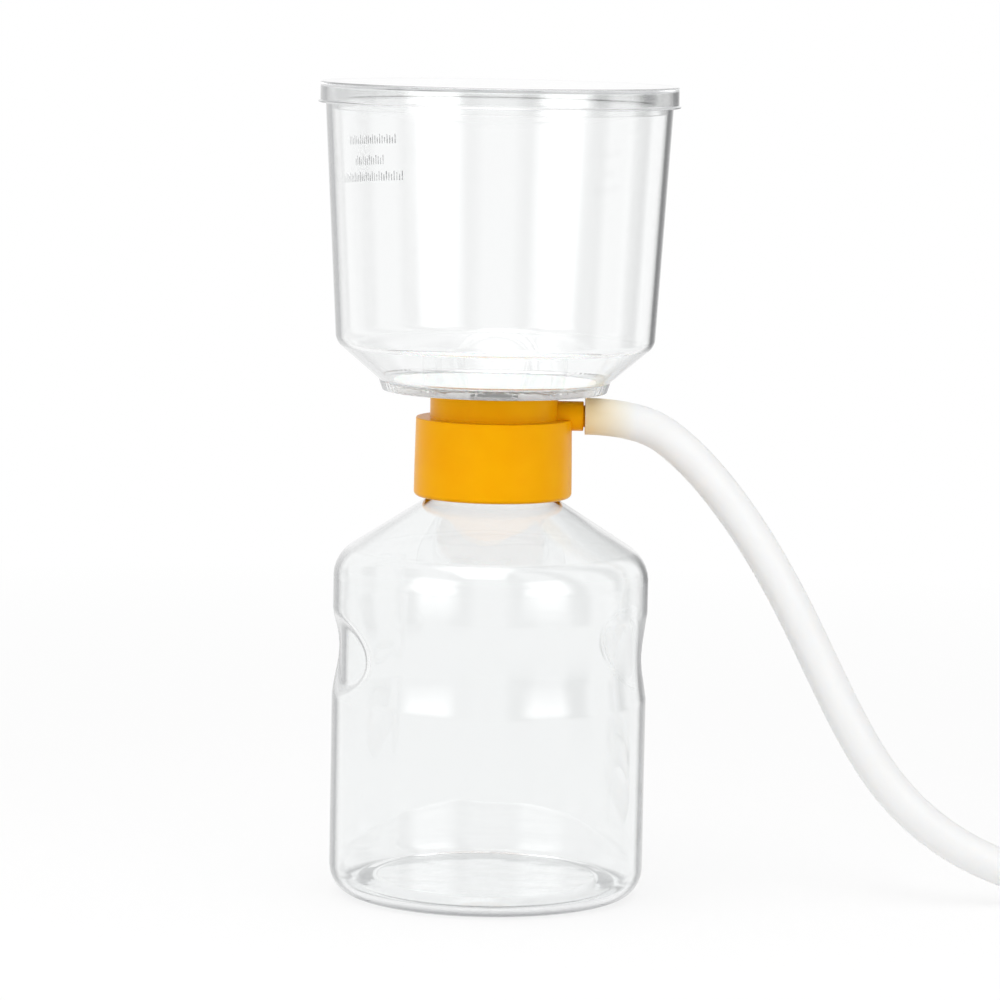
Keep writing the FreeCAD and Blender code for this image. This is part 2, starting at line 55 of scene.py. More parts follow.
# %% [markdown]
# ## The camera
# The unit is looked at from the front, from a little above the lid, through a long lens: a long
# lens keeps the lid's ellipse thin and the sides nearly parallel. A wide lens close by would
# show the lid's top and make the bottle look smaller. The camera is turned one degree about its
# own view, so the unit leans a touch to the right.

# %% Camera
CAMERA_DISTANCE = 1.750
CAMERA_HEIGHT = 0.3387
CAMERA_DOWN = math.radians(6.42)
CAMERA_ROLL = math.radians(1.1)
CAMERA_ASIDE = 0.0027
FOCAL_LENGTH = 177.6

camera_data = bpy.data.cameras.new("camera")
camera_data.lens = FOCAL_LENGTH
camera = bpy.data.objects.new("camera", camera_data)
bpy.context.scene.collection.objects.link(camera)
camera.location = (CAMERA_ASIDE, -CAMERA_DISTANCE, CAMERA_HEIGHT)
look = Matrix.Rotation(math.pi / 2 - CAMERA_DOWN, 3, "X") @ Matrix.Rotation(CAMERA_ROLL, 3, "Z")
camera.rotation_euler = look.to_euler()
bpy.context.scene.camera = camera
bpy.context.scene.view_settings.view_transform = "Standard"

# %% [markdown]
# ## The hose
# The hose is silicone tubing, 13 mm thick with an 8 mm bore. It leaves the barb level, bends
# where it starts to hang, falls to the table and runs on to a coil beside the unit. One smooth
# line carries it: the route's points and the coil's turns are the control points of one NURBS
# spline. A hand-drawn mesh would kink, and a row of straight runs would look like bent wire.

# %% Route of the hose
HOSE_RADIUS = 6.6
HOSE_BORE = 4.0
FLOOR_LEVEL = HOSE_RADIUS + 0.1
HOSE_ASIDE = -8.0
HOSE_ROUTE = [
    (32.4, 0, 172.42),
    (52, 0, 172.42),
    (71, 0, 158.9),
    (90, -1, 136),
    (106, -3, 110),
    (119, -5, 84),
    (130, -6.8, 62.5),
    (141.5, -8.4, 44.5),
    (155.5, -9.2, 30),
    (172, -9, 19),
    (190.5, -8.5, 11.5),
    (209, -8.1, 8),
    (225, HOSE_ASIDE, FLOOR_LEVEL),
    (241, HOSE_ASIDE, FLOOR_LEVEL),
]

# %% [markdown]
# The rest is wound as for storage, each turn lying on the one below. A turn stays flat on what
# it lies on until it nears its own start, and there it climbs one thickness in a long low hump.
# The control points stand a little outside the turn, because the line passes inside them.

# %% Coil of the hose
COIL_LOW, COIL_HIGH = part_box("vacuum_hose_coil")
COIL_CENTRE = (COIL_LOW + COIL_HIGH) / 2 / MM
COIL_RADIUS = (COIL_HIGH.x - COIL_LOW.x) / 2 / MM - HOSE_RADIUS
COIL_STEPS = 40
STEPS_PER_TURN = 24
CLIMB_START = 0.70
CLIMB_END = 0.93


def eased(share):
    """Goes smoothly from 0 to 1."""
    share = min(max(share, 0), 1)
    return share * share * (3 - 2 * share)


def coil_point(step):
    """A control point of the coil: the hose arrives between the first two, at the front."""
    turns = (step - 0.5) / STEPS_PER_TURN
    angle = (turns - 0.25) * 2 * math.pi
    reach = COIL_RADIUS / math.cos(math.pi / STEPS_PER_TURN)
    climb = eased((turns - CLIMB_START) / (CLIMB_END - CLIMB_START))
    return (
        COIL_CENTRE.x + reach * math.cos(angle),
        COIL_CENTRE.y + reach * math.sin(angle),
        FLOOR_LEVEL + climb * HOSE_RADIUS * 2,
    )


coil = [coil_point(step) for step in range(COIL_STEPS + 1)]
control_points = [Vector(point) * MM for point in HOSE_ROUTE + coil]

line = bpy.data.curves.new("hose_line", "CURVE")
line.dimensions = "3D"
spline = line.splines.new("NURBS")
spline.points.add(len(control_points) - 1)
for point, place in zip(spline.points, control_points):
    point.co = (*place, 1)
spline.order_u = 3
spline.use_endpoint_u = True
spline.resolution_u = 8
line_object = bpy.data.objects.new("hose_line", line)
bpy.context.scene.collection.objects.link(line_object)

centre_line = bpy.data.meshes.new_from_object(line_object)
hose_path = [vertex.co.copy() for vertex in centre_line.vertices]
path_length = sum((b - a).length for a, b in zip(hose_path, hose_path[1:]))
print("hose path", len(hose_path), "points,", round(path_length, 4), "m")

# %% [markdown]
# ## Shader maths
# A material is a small graph of nodes. Written link by link it is hard to read, so one class
# wraps a socket and lets Python's own signs add the Math nodes. Any other node comes from its
# `node` method: the kind of node, its settings, and the values or links of its sockets.

# %% A socket that can be calculated with
class Shade:
    def __init__(self, tree, socket):
        self.tree = tree
        self.socket = socket

    def node(self, kind, settings=None, output=0, **values):
        made = self.tree.nodes.new(kind)
        for name, setting in (settings or {}).items():
            setattr(made, name, setting)
        for name, value in values.items():
            socket = made.inputs[int(name[1:]) if name[1:].isdigit() else name.replace("_", " ")]
            if isinstance(value, Shade):
                self.tree.links.new(value.socket, socket)
            else:
                socket.default_value = value
        return Shade(self.tree, made.outputs[output])

    def maths(self, operation, first, second):
        return self.node("ShaderNodeMath", {"operation": operation}, _0=first, _1=second)

    def __add__(self, other):
        return self.maths("ADD", self, other)

    def __radd__(self, other):
        return self.maths("ADD", other, self)

    def __sub__(self, other):
        return self.maths("SUBTRACT", self, other)

    def __rsub__(self, other):
        return self.maths("SUBTRACT", other, self)

    def __mul__(self, other):
        return self.maths("MULTIPLY", self, other)

    def __rmul__(self, other):
        return self.maths("MULTIPLY", other, self)

    def __truediv__(self, other):
        return self.maths("DIVIDE", self, other)

    def __pow__(self, other):
        return self.maths("POWER", self, other)

    def clamped(self):
        return self.node("ShaderNodeClamp", Value=self)

# %% [markdown]
# Every finish starts from a Principled shader. Plain numbers are set on its own sockets, and
# only what changes over the surface is linked.

# %% Start a material
def new_material(name, **values):
    """A material with a Principled shader: returns the material, its shader and a Shade."""
    material = bpy.data.materials.new(name)
    material.use_nodes = True
    shader = material.node_tree.nodes["Principled BSDF"]
    for socket, value in values.items():
        shader.inputs[socket.replace("_", " ")].default_value = value
    return material, shader, Shade(material.node_tree, None)


def link(shade, shader, socket):
    """Feeds a shader's socket from a Shade."""
    shade.tree.links.new(shade.socket, shader.inputs[socket])


def link_surface(shade, material):
    """Makes a shader what the material shows."""
    output = material.node_tree.nodes["Material Output"]
    shade.tree.links.new(shade.socket, output.inputs["Surface"])


def noise(shade, scale, detail=2, roughness=0.5, stretch=(1, 1, 1)):
    """Noise that stays on the piece, scale features to the metre, centred on one half."""
    place = shade.node("ShaderNodeTexCoord", output="Object")
    place = shade.node("ShaderNodeMapping", Vector=place, Scale=stretch)
    return shade.node("ShaderNodeTexNoise", Vector=place, Scale=scale, Detail=detail,
                      Roughness=roughness)


def bump(shade, height, depth):
    """A surface that stands depth metres proud where height is 1."""
    return shade.node("ShaderNodeBump", Height=height, Distance=depth, Strength=1.0)

# %% [markdown]
# ## Clear polystyrene
# Funnel, lid and bottle are clear plastic with an index of 1.59. Each is built as a real wall with
# two faces, so that light bends in and out of it as it does in the moulding. The blown bottle has
# an uneven surface, and the injected pieces are even. Where a ray grazes the outside of an upright
# wall, the plastic's colour is darkened, partly for the long way the light runs inside the plastic
# and partly as painted shade: that draws the thin grey outline of clear plastic. The thick heel of
# the bottle and the edge of the lid's disc, through which one looks along the whole disc, are
# darkened in the same way, partly for their thickness and partly as painted shade. Lamps shine
# through: for shadow rays the shader is nearly transparent, so what stands behind is lit and not
# black. A ray that has been mirrored a few times inside a wall goes straight on too, where it
# would otherwise be lost and leave a black spot.

# %% Clear plastic
BOTTLE_TINT = (0.952, 0.96, 0.96, 1)
FUNNEL_TINT = (0.97, 0.975, 0.975, 1)
LID_TINT = (0.99, 0.992, 0.992, 1)
# Painted shade: this dark tint on the outside of grazed upright walls draws the grey outline.
PAINTED_EDGE_SHADE = (0.14, 0.144, 0.15, 1)
# Painted shade on the bottle's thick heel, partly for its thickness; darker towards the floor.
PAINTED_HEEL_SHADE = (0.15, 0.154, 0.161, 1)
HEEL_TOP = 3.8 * MM
HEEL_FADE = 2.2 * MM
HEEL_RADIUS = 45 * MM
LID_LOW, LID_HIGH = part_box("lid")
# Painted shade on the edge of the lid's disc, partly for the length of plastic seen along it.
PAINTED_DISC_EDGE_SHADE = (0.6, 0.605, 0.61, 1)
DISC_LOW = LID_HIGH.z - 1.8 * MM
DISC_FADE = 0.4 * MM
DISC_RADIUS = LID_HIGH.x - 2 * MM
STRAIGHT_TINT = (0.95, 0.955, 0.957, 1)
POLYSTYRENE_IOR = 1.59
MIRRORED_AT_MOST = 2
TRAPPED_WITHIN = 150 * MM
GRAZING_START = 0.67
GRAZING_LENGTH = 0.08


def light_path(shade, kind):
    return shade.node("ShaderNodeLightPath", output=kind)


def blend(shade, share, first, second):
    """Mixes two colours."""
    return shade.node("ShaderNodeMix", {"data_type": "RGBA"}, output=2,
                      _0=share, _6=first, _7=second)


def height_of(shade, place):
    return shade.node("ShaderNodeSeparateXYZ", output="Z", Vector=place)


def radius_of(shade, place):
    level = shade.node("ShaderNodeVectorMath", {"operation": "MULTIPLY"}, _0=place, _1=(1, 1, 0))
    return shade.node("ShaderNodeVectorMath", {"operation": "LENGTH"}, output="Value", _0=level)


def outward(shade, place):
    """1 on the outside of an upright wall; less on a slope, and 0 on level faces and inside."""
    level = shade.node("ShaderNodeVectorMath", {"operation": "MULTIPLY"}, _0=place, _1=(1, 1, 0))
    level = shade.node("ShaderNodeVectorMath", {"operation": "NORMALIZE"}, _0=level)
    normal = shade.node("ShaderNodeTexCoord", output="Normal")
    away = shade.node("ShaderNodeVectorMath", {"operation": "DOT_PRODUCT"}, output="Value",
                      _0=level, _1=normal)
    turned = shade.node("ShaderNodeNewGeometry", output="Backfacing")
    return (away * (1 - turned * 2)).clamped() ** 2


def heel(shade, place):
    """1 on the outside of the bottle's thick heel, which painted shade darkens."""
    low = ((HEEL_TOP - height_of(shade, place)) / HEEL_FADE).clamped()
    return low * shade.maths("GREATER_THAN", radius_of(shade, place), HEEL_RADIUS)


def disc_edge(shade, place):
    """1 on the edge of the lid's disc, through which one looks along the whole disc, and which
    painted shade darkens.
    """
    high = ((height_of(shade, place) - DISC_LOW) / DISC_FADE).clamped()
    return high * shade.maths("GREATER_THAN", radius_of(shade, place), DISC_RADIUS)


def let_straight(material, shader, shade, share, tint):
    """Lets a share of the rays straight through each face."""
    clear = shade.node("ShaderNodeBsdfTransparent", Color=tint)
    solid = Shade(shade.tree, shader.outputs[0])
    mix = shade.node("ShaderNodeMixShader", _0=share, _1=solid, _2=clear)
    link_surface(mix, material)


def clear_plastic(name, clear_tint, wave_scale, wave_depth, painted_shade_at=None, painted_shade_tint=None):
    material, shader, shade = new_material(
        name, Roughness=0.0, IOR=POLYSTYRENE_IOR, Transmission_Weight=1.0)
    place = shade.node("ShaderNodeTexCoord", output="Object")
    facing = shade.node("ShaderNodeLayerWeight", output="Facing", Blend=0.5)
    # Painted shade where a ray grazes the outside of an upright wall, partly the longer path
    # through the plastic.
    grazing = ((facing - GRAZING_START) / GRAZING_LENGTH).clamped() * outward(shade, place)
    tint = blend(shade, grazing, clear_tint, PAINTED_EDGE_SHADE)
    # Painted shade where the given mask is 1: the bottle's heel and the edge of the lid's disc.
    if painted_shade_at:
        tint = blend(shade, painted_shade_at(shade, place), tint, painted_shade_tint)
    link(tint, shader, "Base Color")
    waves = noise(shade, wave_scale, detail=1, stretch=(1, 1, 0.5))
    link(bump(shade, waves, wave_depth), shader, "Normal")
    mirrored = shade.maths("GREATER_THAN", light_path(shade, "Glossy Depth"), MIRRORED_AT_MOST)
    near = shade.maths("LESS_THAN", light_path(shade, "Ray Length"), TRAPPED_WITHIN)
    straight = (light_path(shade, "Is Shadow Ray") + mirrored * near).clamped()
    let_straight(material, shader, shade, straight, STRAIGHT_TINT)
    return material


# The blown bottle gets painted shade on its heel.
BLOWN_CLEAR = clear_plastic(
    "clear_blown_polystyrene", BOTTLE_TINT, wave_scale=45, wave_depth=0.0003,
    painted_shade_at=heel, painted_shade_tint=PAINTED_HEEL_SHADE)
FUNNEL_CLEAR = clear_plastic(
    "clear_moulded_polystyrene", FUNNEL_TINT, wave_scale=25, wave_depth=0.0001)
# The lid gets painted shade on the edge of its disc.
LID_CLEAR = clear_plastic(
    "clear_thin_polystyrene", LID_TINT, wave_scale=25, wave_depth=0.0001,
    painted_shade_at=disc_edge, painted_shade_tint=PAINTED_DISC_EDGE_SHADE)
print("clear plastics", BLOWN_CLEAR.name, FUNNEL_CLEAR.name, LID_CLEAR.name)

# %% [markdown]
# The filter base is the same plastic, but its many thin ribs scatter the light and look white.
# Bending the light at every rib would cost many bounces, so one clouded finish with little
# bending and a rough surface stands for them.

# %% Clouded plastic
CLOUDED_TINT = (0.8, 0.8, 0.8, 1)


def clouded_plastic():
    material, shader, shade = new_material(
        "clouded_moulded_polystyrene", Base_Color=(0.97, 0.97, 0.965, 1), Roughness=0.2,
        IOR=1.05, Transmission_Weight=0.85)
    link(bump(shade, noise(shade, 300, detail=1), 0.00003), shader, "Normal")
    let_straight(material, shader, shade, light_path(shade, "Is Shadow Ray"), CLOUDED_TINT)
    return material


CLOUDED = clouded_plastic()

# %% [markdown]
# ## Amber plastic
# The adapter is an opaque amber moulding with a satin gloss. A little light goes into such a
# plastic and comes out beside, which subsurface scattering gives. Its gloss is tinted amber, which
# keeps the colour full under white light. Fine noise on the roughness and a shallow bump break up
# the highlights.

# %% Amber
AMBER = (0.887, 0.418, 0.002, 1)
AMBER_DEEP = (0.84, 0.352, 0.0, 1)
AMBER_GLOSS = (1.0, 0.7, 0.2, 1)


def amber_plastic():
    material, shader, shade = new_material(
        "amber_moulded_plastic", IOR=1.53, Specular_IOR_Level=0.12, Specular_Tint=AMBER_GLOSS,
        Subsurface_Weight=0.15, Subsurface_Scale=0.003, Subsurface_Radius=(1.0, 0.35, 0.05))
    cloud = noise(shade, 60, detail=3)
    colour = blend(shade, (cloud * 1.4 - 0.2).clamped(), AMBER, AMBER_DEEP)
    link(colour, shader, "Base Color")
    link(noise(shade, 900) * 0.12 + 0.24, shader, "Roughness")
    link(bump(shade, noise(shade, 1500, detail=1), 0.00001), shader, "Normal")
    return material


AMBER_PLASTIC = amber_plastic()

# %% [markdown]
# ## Silicone
# The hose is milky: part of the light passes through its wall, blurred, and part is scattered
# back. Where it is pushed onto the barb, the amber that shines through it is painted into the
# hose's colour, fading along the hose.

# %% Silicone
SILICONE = (0.96, 0.955, 0.94, 1)
PAINTED_AMBER_SHINE = (1.0, 0.76, 0.45, 1)
GLOW_START = 34 * MM
GLOW_LENGTH = 17 * MM


def silicone(name, painted_amber_shine):
    material, shader, shade = new_material(
        name, Base_Color=SILICONE, Roughness=0.38, IOR=1.41, Transmission_Weight=0.15,
        Subsurface_Weight=0.5, Subsurface_Scale=0.004, Subsurface_Radius=(1.0, 0.9, 0.8))
    # Painted light: near the barb the amber seen through the hose is painted into its colour.
    if painted_amber_shine:
        place = shade.node("ShaderNodeTexCoord", output="Object")
        along = shade.node("ShaderNodeSeparateXYZ", Vector=place)
        near = (1 - (along - GLOW_START) / GLOW_LENGTH).clamped()
        colour = blend(shade, near, SILICONE, PAINTED_AMBER_SHINE)
        link(colour, shader, "Base Color")
    link(noise(shade, 700) * 0.1 + 0.33, shader, "Roughness")
    link(bump(shade, noise(shade, 260, detail=1), 0.00004), shader, "Normal")
    return material


HOSE_SILICONE = silicone("milky_hose_silicone", painted_amber_shine=True)
SEAL_SILICONE = silicone("seal_silicone", painted_amber_shine=False)

# %% [markdown]
# ## Filter disc, cotton and ink
# The filter disc is a matt white film of matted fibres. The cotton plug is coarser. The ink of
# the print on the funnel is thin and worn, so it covers unevenly.

# %% Fibres
def fibres(name, colour, shadow, scale, depth):
    material, shader, shade = new_material(name, Roughness=0.85, Subsurface_Weight=0.2,
                                           Subsurface_Scale=0.001)
    mat = noise(shade, scale, detail=4, roughness=0.7)
    link(blend(shade, mat, shadow, colour), shader, "Base Color")
    link(bump(shade, mat, depth), shader, "Normal")
    return material


MEMBRANE = fibres("filter_membrane", colour=(0.95, 0.95, 0.94, 1), shadow=(0.9, 0.9, 0.885, 1),
                  scale=2500, depth=0.00003)
COTTON = fibres("cotton_wool", colour=(0.96, 0.96, 0.94, 1), shadow=(0.8, 0.8, 0.77, 1),
                scale=1400, depth=0.0002)

# %% Ink
def worn_ink():
    material, shader, shade = new_material("worn_grey_ink", Base_Color=(0.2, 0.2, 0.21, 1),
                                           Roughness=0.6)
    link((noise(shade, 900, detail=2) * 2.2 - 0.45).clamped(), shader, "Alpha")
    return material


GREY_INK = worn_ink()

# %% [markdown]
# ## Turned shapes
# Nearly every piece is round, so it is made as on a lathe: an outline of half the section is
# spun about the upright axis. Corners are rounded on the outline, before the spin, because one
# vertex is cheaper to bevel than a whole ring of edges.

# %% Outline with rounded corners
def outline(corners, closed=True):
    """A chain of edges; each corner is (radius, height) in mm, or with a rounding radius too."""
    bm = bmesh.new()
    verts = [bm.verts.new((corner[0] * MM, 0, corner[1] * MM)) for corner in corners]
    for first, second in zip(verts, verts[1:] + verts[:1] if closed else verts[1:]):
        bm.edges.new((first, second))
    for corner, vert in zip(corners, verts):
        if len(corner) == 3:
            round_corner(bm, vert, corner[2] * MM)
    return bm


def round_corner(bm, vert, radius):
    """Rounds one corner of the outline: the arc touches both of its edges."""
    back, ahead = (edge.other_vert(vert).co - vert.co for edge in vert.link_edges)
    turn = math.pi - back.angle(ahead)
    segments = max(3, round(math.degrees(turn) / 12), round(radius * turn / (3 * MM)))
    bmesh.ops.bevel(bm, geom=[vert], offset=radius * math.tan(turn / 2), offset_type="OFFSET",
                    segments=segments, profile=0.5, affect="VERTICES", material=-1)

# %% [markdown]
# A spin leaves doubled vertices where it closes and at the poles, so they are merged, and the
# faces are turned outwards afterwards.

# %% Spin
SAME_PLACE = 0.00001 * MM


def spin(bm, steps, axis=(0, 0, 1), centre=(0, 0, 0)):
    bmesh.ops.spin(bm, geom=bm.verts[:] + bm.edges[:], cent=centre, axis=axis, dvec=(0, 0, 0),
                   angle=2 * math.pi, steps=steps, use_merge=True, use_duplicate=False)
    bmesh.ops.remove_doubles(bm, verts=bm.verts[:], dist=SAME_PLACE)
    bmesh.ops.dissolve_degenerate(bm, edges=bm.edges[:], dist=SAME_PLACE)
    bmesh.ops.recalc_face_normals(bm, faces=bm.faces[:])
    return bm


def to_object(bm, name):
    mesh = bpy.data.meshes.new(name)
    bm.to_mesh(mesh)
    bm.free()
    made = bpy.data.objects.new(name, mesh)
    bpy.context.scene.collection.objects.link(made)
    return made

# %% [markdown]
# A finished piece is shaded smooth. Weighted normals keep the large faces flat and let the small
# roundings carry the bend, as a moulded edge does.

# %% Finish a piece
def finish_piece(piece, material, body, replaced=()):
    piece.data.materials.clear()
    piece.data.materials.append(material)
    piece.data.polygons.foreach_set("use_smooth", [True] * len(piece.data.polygons))
    piece.data.set_sharp_from_angle(angle=math.radians(40))
    piece.modifiers.new("even_faces", "WEIGHTED_NORMAL").keep_sharp = True
    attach(piece, body)
    if replaced:
        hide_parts(*replaced)
    print(piece.name, len(piece.data.polygons), "faces")
    return piece


def applied(piece):
    """Turns a piece's modifiers into its mesh."""
    bpy.context.view_layer.update()
    graph = bpy.context.evaluated_depsgraph_get()
    mesh = bpy.data.meshes.new_from_object(piece.evaluated_get(graph))
    piece.modifiers.clear()
    piece.data = mesh
    return piece

# %% [markdown]
# ## The hose's tube
# The line is given a round section and turned into a mesh, and Solidify gives it its wall, with
# the bore open at both ends.

# %% Tube
line.bevel_depth = HOSE_RADIUS * MM
line.bevel_resolution = 10
hose = bpy.data.objects.new("vacuum_hose_tube", bpy.data.meshes.new_from_object(line_object))
bpy.context.scene.collection.objects.link(hose)
wall = hose.modifiers.new("wall", "SOLIDIFY")
wall.thickness = (HOSE_RADIUS - HOSE_BORE) * MM
wall.offset = -1
wall.use_even_offset = True
applied(hose)
bpy.data.objects.remove(line_object)
finish_piece(hose, HOSE_SILICONE, "filter_unit",
             ("vacuum_hose", "vacuum_hose_coil"))

# %% [markdown]
# ## The bottle
# The bottle is blown: a thin wall follows one outline from the pushed-up base, over the body and
# the cone of the shoulder, to the neck. The plastic gathers in the base, so floor and heel are
# thicker. Half of the section is drawn once outside and once inside, and spun. The straight side
# is cut into rows, so that the waist and the finger recesses can be pressed into it afterwards.

# %% Bottle sizes
BOTTLE_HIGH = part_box("bottle")[1]
BODY_RADIUS = BOTTLE_HIGH.x / MM
RIM = BOTTLE_HIGH.z / MM
BOTTLE_WALL = 1.8
BODY_HEIGHT = 121.3
NECK_BASE = 144.0
NECK_RADIUS = 20.9
NECK_WALL = 2.2
BASE_CORNER = 10.0
SHOULDER_CORNER = 12.0
NECK_FILLET = 8.0
FOOT_RADIUS = 45.0
FOOT_ROUND = 7.0
PUSHUP_RADIUS = 40.0
PUSHUP_RISE = 4.0
PUSHUP_ROUND = 4.0
FLOOR_THICK = 2.9
FLOOR_RADIUS_INSIDE = 44.0
FLOOR_ROUND = 14.0
HEEL_THICK = 3.6
HEEL_INSIDE = FOOT_RADIUS + 5.5
HEEL_ROUND = 3.0
HEEL_CORNER = 5.5
LIP_ROUND = 0.5
SHOULDER_SLOPE = (NECK_BASE - BODY_HEIGHT) / (BODY_RADIUS - NECK_RADIUS)
CONE_DROP = BOTTLE_WALL * math.hypot(SHOULDER_SLOPE, 1)
BOTTLE_STEPS = 288


def upper_section(inset, neck, drop):
    """The shoulder and the neck, inset from the outside of the bottle."""
    low = BODY_HEIGHT + inset * SHOULDER_SLOPE - drop
    high = NECK_BASE + (NECK_RADIUS - neck) * SHOULDER_SLOPE - drop
    return [
        (BODY_RADIUS - inset, low, SHOULDER_CORNER - inset),
        (neck, high, NECK_FILLET + (NECK_WALL if inset else 0)),
        (neck, RIM, LIP_ROUND),
    ]

# %% Spin the bottle
WALL_ROWS = 1.0
THREAD_ROWS = 0.35


def cut_rows(bm, is_edge, spacing):
    """Cuts the chosen upright edges of an outline into rows."""
    for edge in [edge for edge in bm.edges if is_edge(edge)]:
        cuts = int(edge.calc_length() / (spacing * MM))
        bmesh.ops.subdivide_edges(bm, edges=[edge], cuts=cuts)


def upright_at(*radii):
    """Picks edges that stand upright at one of these radii, in mm."""
    return lambda edge: any(
        all(abs(vert.co.x / MM - radius) < 0.001 for vert in edge.verts) for radius in radii)


outside = [
    (0, PUSHUP_RISE),
    (PUSHUP_RADIUS, PUSHUP_RISE, PUSHUP_ROUND),
    (FOOT_RADIUS, 0, FOOT_ROUND),
    (BODY_RADIUS, 0, BASE_CORNER),
    *upper_section(0, NECK_RADIUS, 0),
]
inside = [
    (0, PUSHUP_RISE + FLOOR_THICK),
    (FLOOR_RADIUS_INSIDE, PUSHUP_RISE + FLOOR_THICK, FLOOR_ROUND),
    (HEEL_INSIDE, HEEL_THICK, HEEL_ROUND),
    (BODY_RADIUS - BOTTLE_WALL, HEEL_THICK, HEEL_CORNER),
    *upper_section(BOTTLE_WALL, NECK_RADIUS - NECK_WALL, CONE_DROP),
]
bottle = outline(outside + inside[::-1], closed=False)
cut_rows(bottle, upright_at(BODY_RADIUS, BODY_RADIUS - BOTTLE_WALL), WALL_ROWS)
cut_rows(bottle, upright_at(NECK_RADIUS), THREAD_ROWS)
spin(bottle, BOTTLE_STEPS)

# %% [markdown]
# The waist is a shallow arc all round. On each side a finger recess is pressed deeper, with
# sloping flanks. Both are heights over the wall, so one function of the place on the wall gives
# how far it goes in, and both faces of the wall move by it. A boolean would leave sharp edges
# that a blown bottle doesn't have.

# %% Waist and finger recesses
WAIST_MIDDLE = 87.0
WAIST_HALF = 15.5
WAIST_DEPTH = 1.4
WAIST_RADIUS = (WAIST_HALF ** 2 + WAIST_DEPTH ** 2) / (2 * WAIST_DEPTH)
GRIP_MIDDLE = 87.0
GRIP_HALF = 15.5
GRIP_DEPTH = 3.0
GRIP_FLANK = 0.35
GRIP_HALF_WIDTH = math.radians(29)
GRIP_TURN = math.radians(15)
NEAR_FACE = 0.01


def waist_depth(height):
    off = abs(height - WAIST_MIDDLE)
    if off >= WAIST_HALF:
        return 0
    return math.sqrt(WAIST_RADIUS ** 2 - off ** 2) - (WAIST_RADIUS - WAIST_DEPTH)


def grip_depth(height, azimuth):
    """Depth of the nearer recess, an oval bowl: they are half a turn apart."""
    off_turn = (azimuth - GRIP_TURN + math.pi / 2) % math.pi - math.pi / 2
    off = math.hypot(off_turn / GRIP_HALF_WIDTH, (height - GRIP_MIDDLE) / GRIP_HALF)
    return GRIP_DEPTH * eased((1 - off) / GRIP_FLANK)


def press_in(bm, lowest, highest, depth_at):
    """Moves the wall inwards, between two radii in mm, by a function of height and azimuth."""
    for vert in bm.verts:
        radius = math.hypot(vert.co.x, vert.co.y) / MM
        if lowest < radius < highest:
            depth = depth_at(vert.co.z / MM, math.atan2(vert.co.y, vert.co.x))
            vert.co.xy *= (radius - depth) / radius


press_in(bottle, BODY_RADIUS - BOTTLE_WALL - NEAR_FACE, BODY_RADIUS + NEAR_FACE,
         lambda height, azimuth: max(waist_depth(height), grip_depth(height, azimuth)))

# %% [markdown]
# The neck has a 45 mm screw thread of 4 mm pitch. Along the neck it is a ridge whose middle
# climbs with the turn, so it too is a function of the place on the neck.

# %% Thread
THREAD_PITCH = 4.0
THREAD_DEPTH = 1.5
THREAD_ROOT = 2.2
THREAD_CREST = 1.0
THREAD_TURNS = 1.75
NECK_THREAD_LOW = RIM - 3.8 - THREAD_PITCH * THREAD_TURNS
RUN_OUT = 0.06


def thread_height(height, azimuth, low, turns, root, crest, depth):
    """How high a right-handed ridge stands at this place, with its ends run out."""
    start = (azimuth / (2 * math.pi)) % 1
    best = 0
    for lap in range(math.ceil(turns) + 1):
        turned = start + lap
        if turned <= turns:
            off = abs(height - low - turned * THREAD_PITCH)
            flank = min(max((root / 2 - off) / ((root - crest) / 2), 0), 1)
            best = max(best, flank * eased(min(turned, turns - turned) / RUN_OUT))
    return best * depth


press_in(bottle, NECK_RADIUS - NEAR_FACE, NECK_RADIUS + NEAR_FACE,
         lambda height, azimuth: -thread_height(
             height, azimuth, NECK_THREAD_LOW, THREAD_TURNS,
             THREAD_ROOT, THREAD_CREST, THREAD_DEPTH))
finish_piece(to_object(bottle, "receiver_bottle"), BLOWN_CLEAR, "bottle",
             ("bottle",))

# %% [markdown]
# ## The funnel
# The funnel is injected: a wall that widens upwards, a cone below, and a flange that grips the
# filter base. The clamping ring inside holds the filter disc down. Fine flutes run round the edge
# of the flange, to be held by: they are pressed into the finished spin, as the waist is.

# %% Funnel sizes
FUNNEL_LOW, FUNNEL_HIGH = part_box("funnel")
MEMBRANE_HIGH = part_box("filter_membrane")[1]
FUNNEL_RIM = FUNNEL_HIGH.z / MM
RIM_RADIUS = FUNNEL_HIGH.x / MM
FLANGE_LOW = FUNNEL_LOW.z / MM
FLANGE_TOP = FLANGE_LOW + 3.8
FLANGE_RADIUS = 40.0
FLANGE_TOP_RADIUS = 41.3
FLANGE_BORE = 38.4
FUNNEL_RADIUS = 56.75
FUNNEL_CORNER = FLANGE_TOP + 13.2
FUNNEL_WALL = 1.9
MEMBRANE_TOP = MEMBRANE_HIGH.z / MM
CLAMP_TOP = MEMBRANE_TOP + 1.5
CLAMP_BORE = MEMBRANE_HIGH.x / MM - 1.2
CONE_SLOPE = (FUNNEL_CORNER - FLANGE_TOP) / (FUNNEL_RADIUS - FLANGE_TOP_RADIUS)
CONE_LIFT = FUNNEL_WALL * math.hypot(CONE_SLOPE, 1)
CORNER_ROUND = 5.0
FUNNEL_LIP_ROUND = 0.4
FLUTES = 90
FLUTE_DEPTH = 0.12
FUNNEL_STEPS = 360


def inside_cone(height):
    """Radius of the inside of the cone at a height."""
    return FLANGE_TOP_RADIUS + (height - FLANGE_TOP - CONE_LIFT) / CONE_SLOPE


inner_corner = FUNNEL_RADIUS - FUNNEL_WALL
inner_corner_height = FLANGE_TOP + (inner_corner - FLANGE_TOP_RADIUS) * CONE_SLOPE + CONE_LIFT

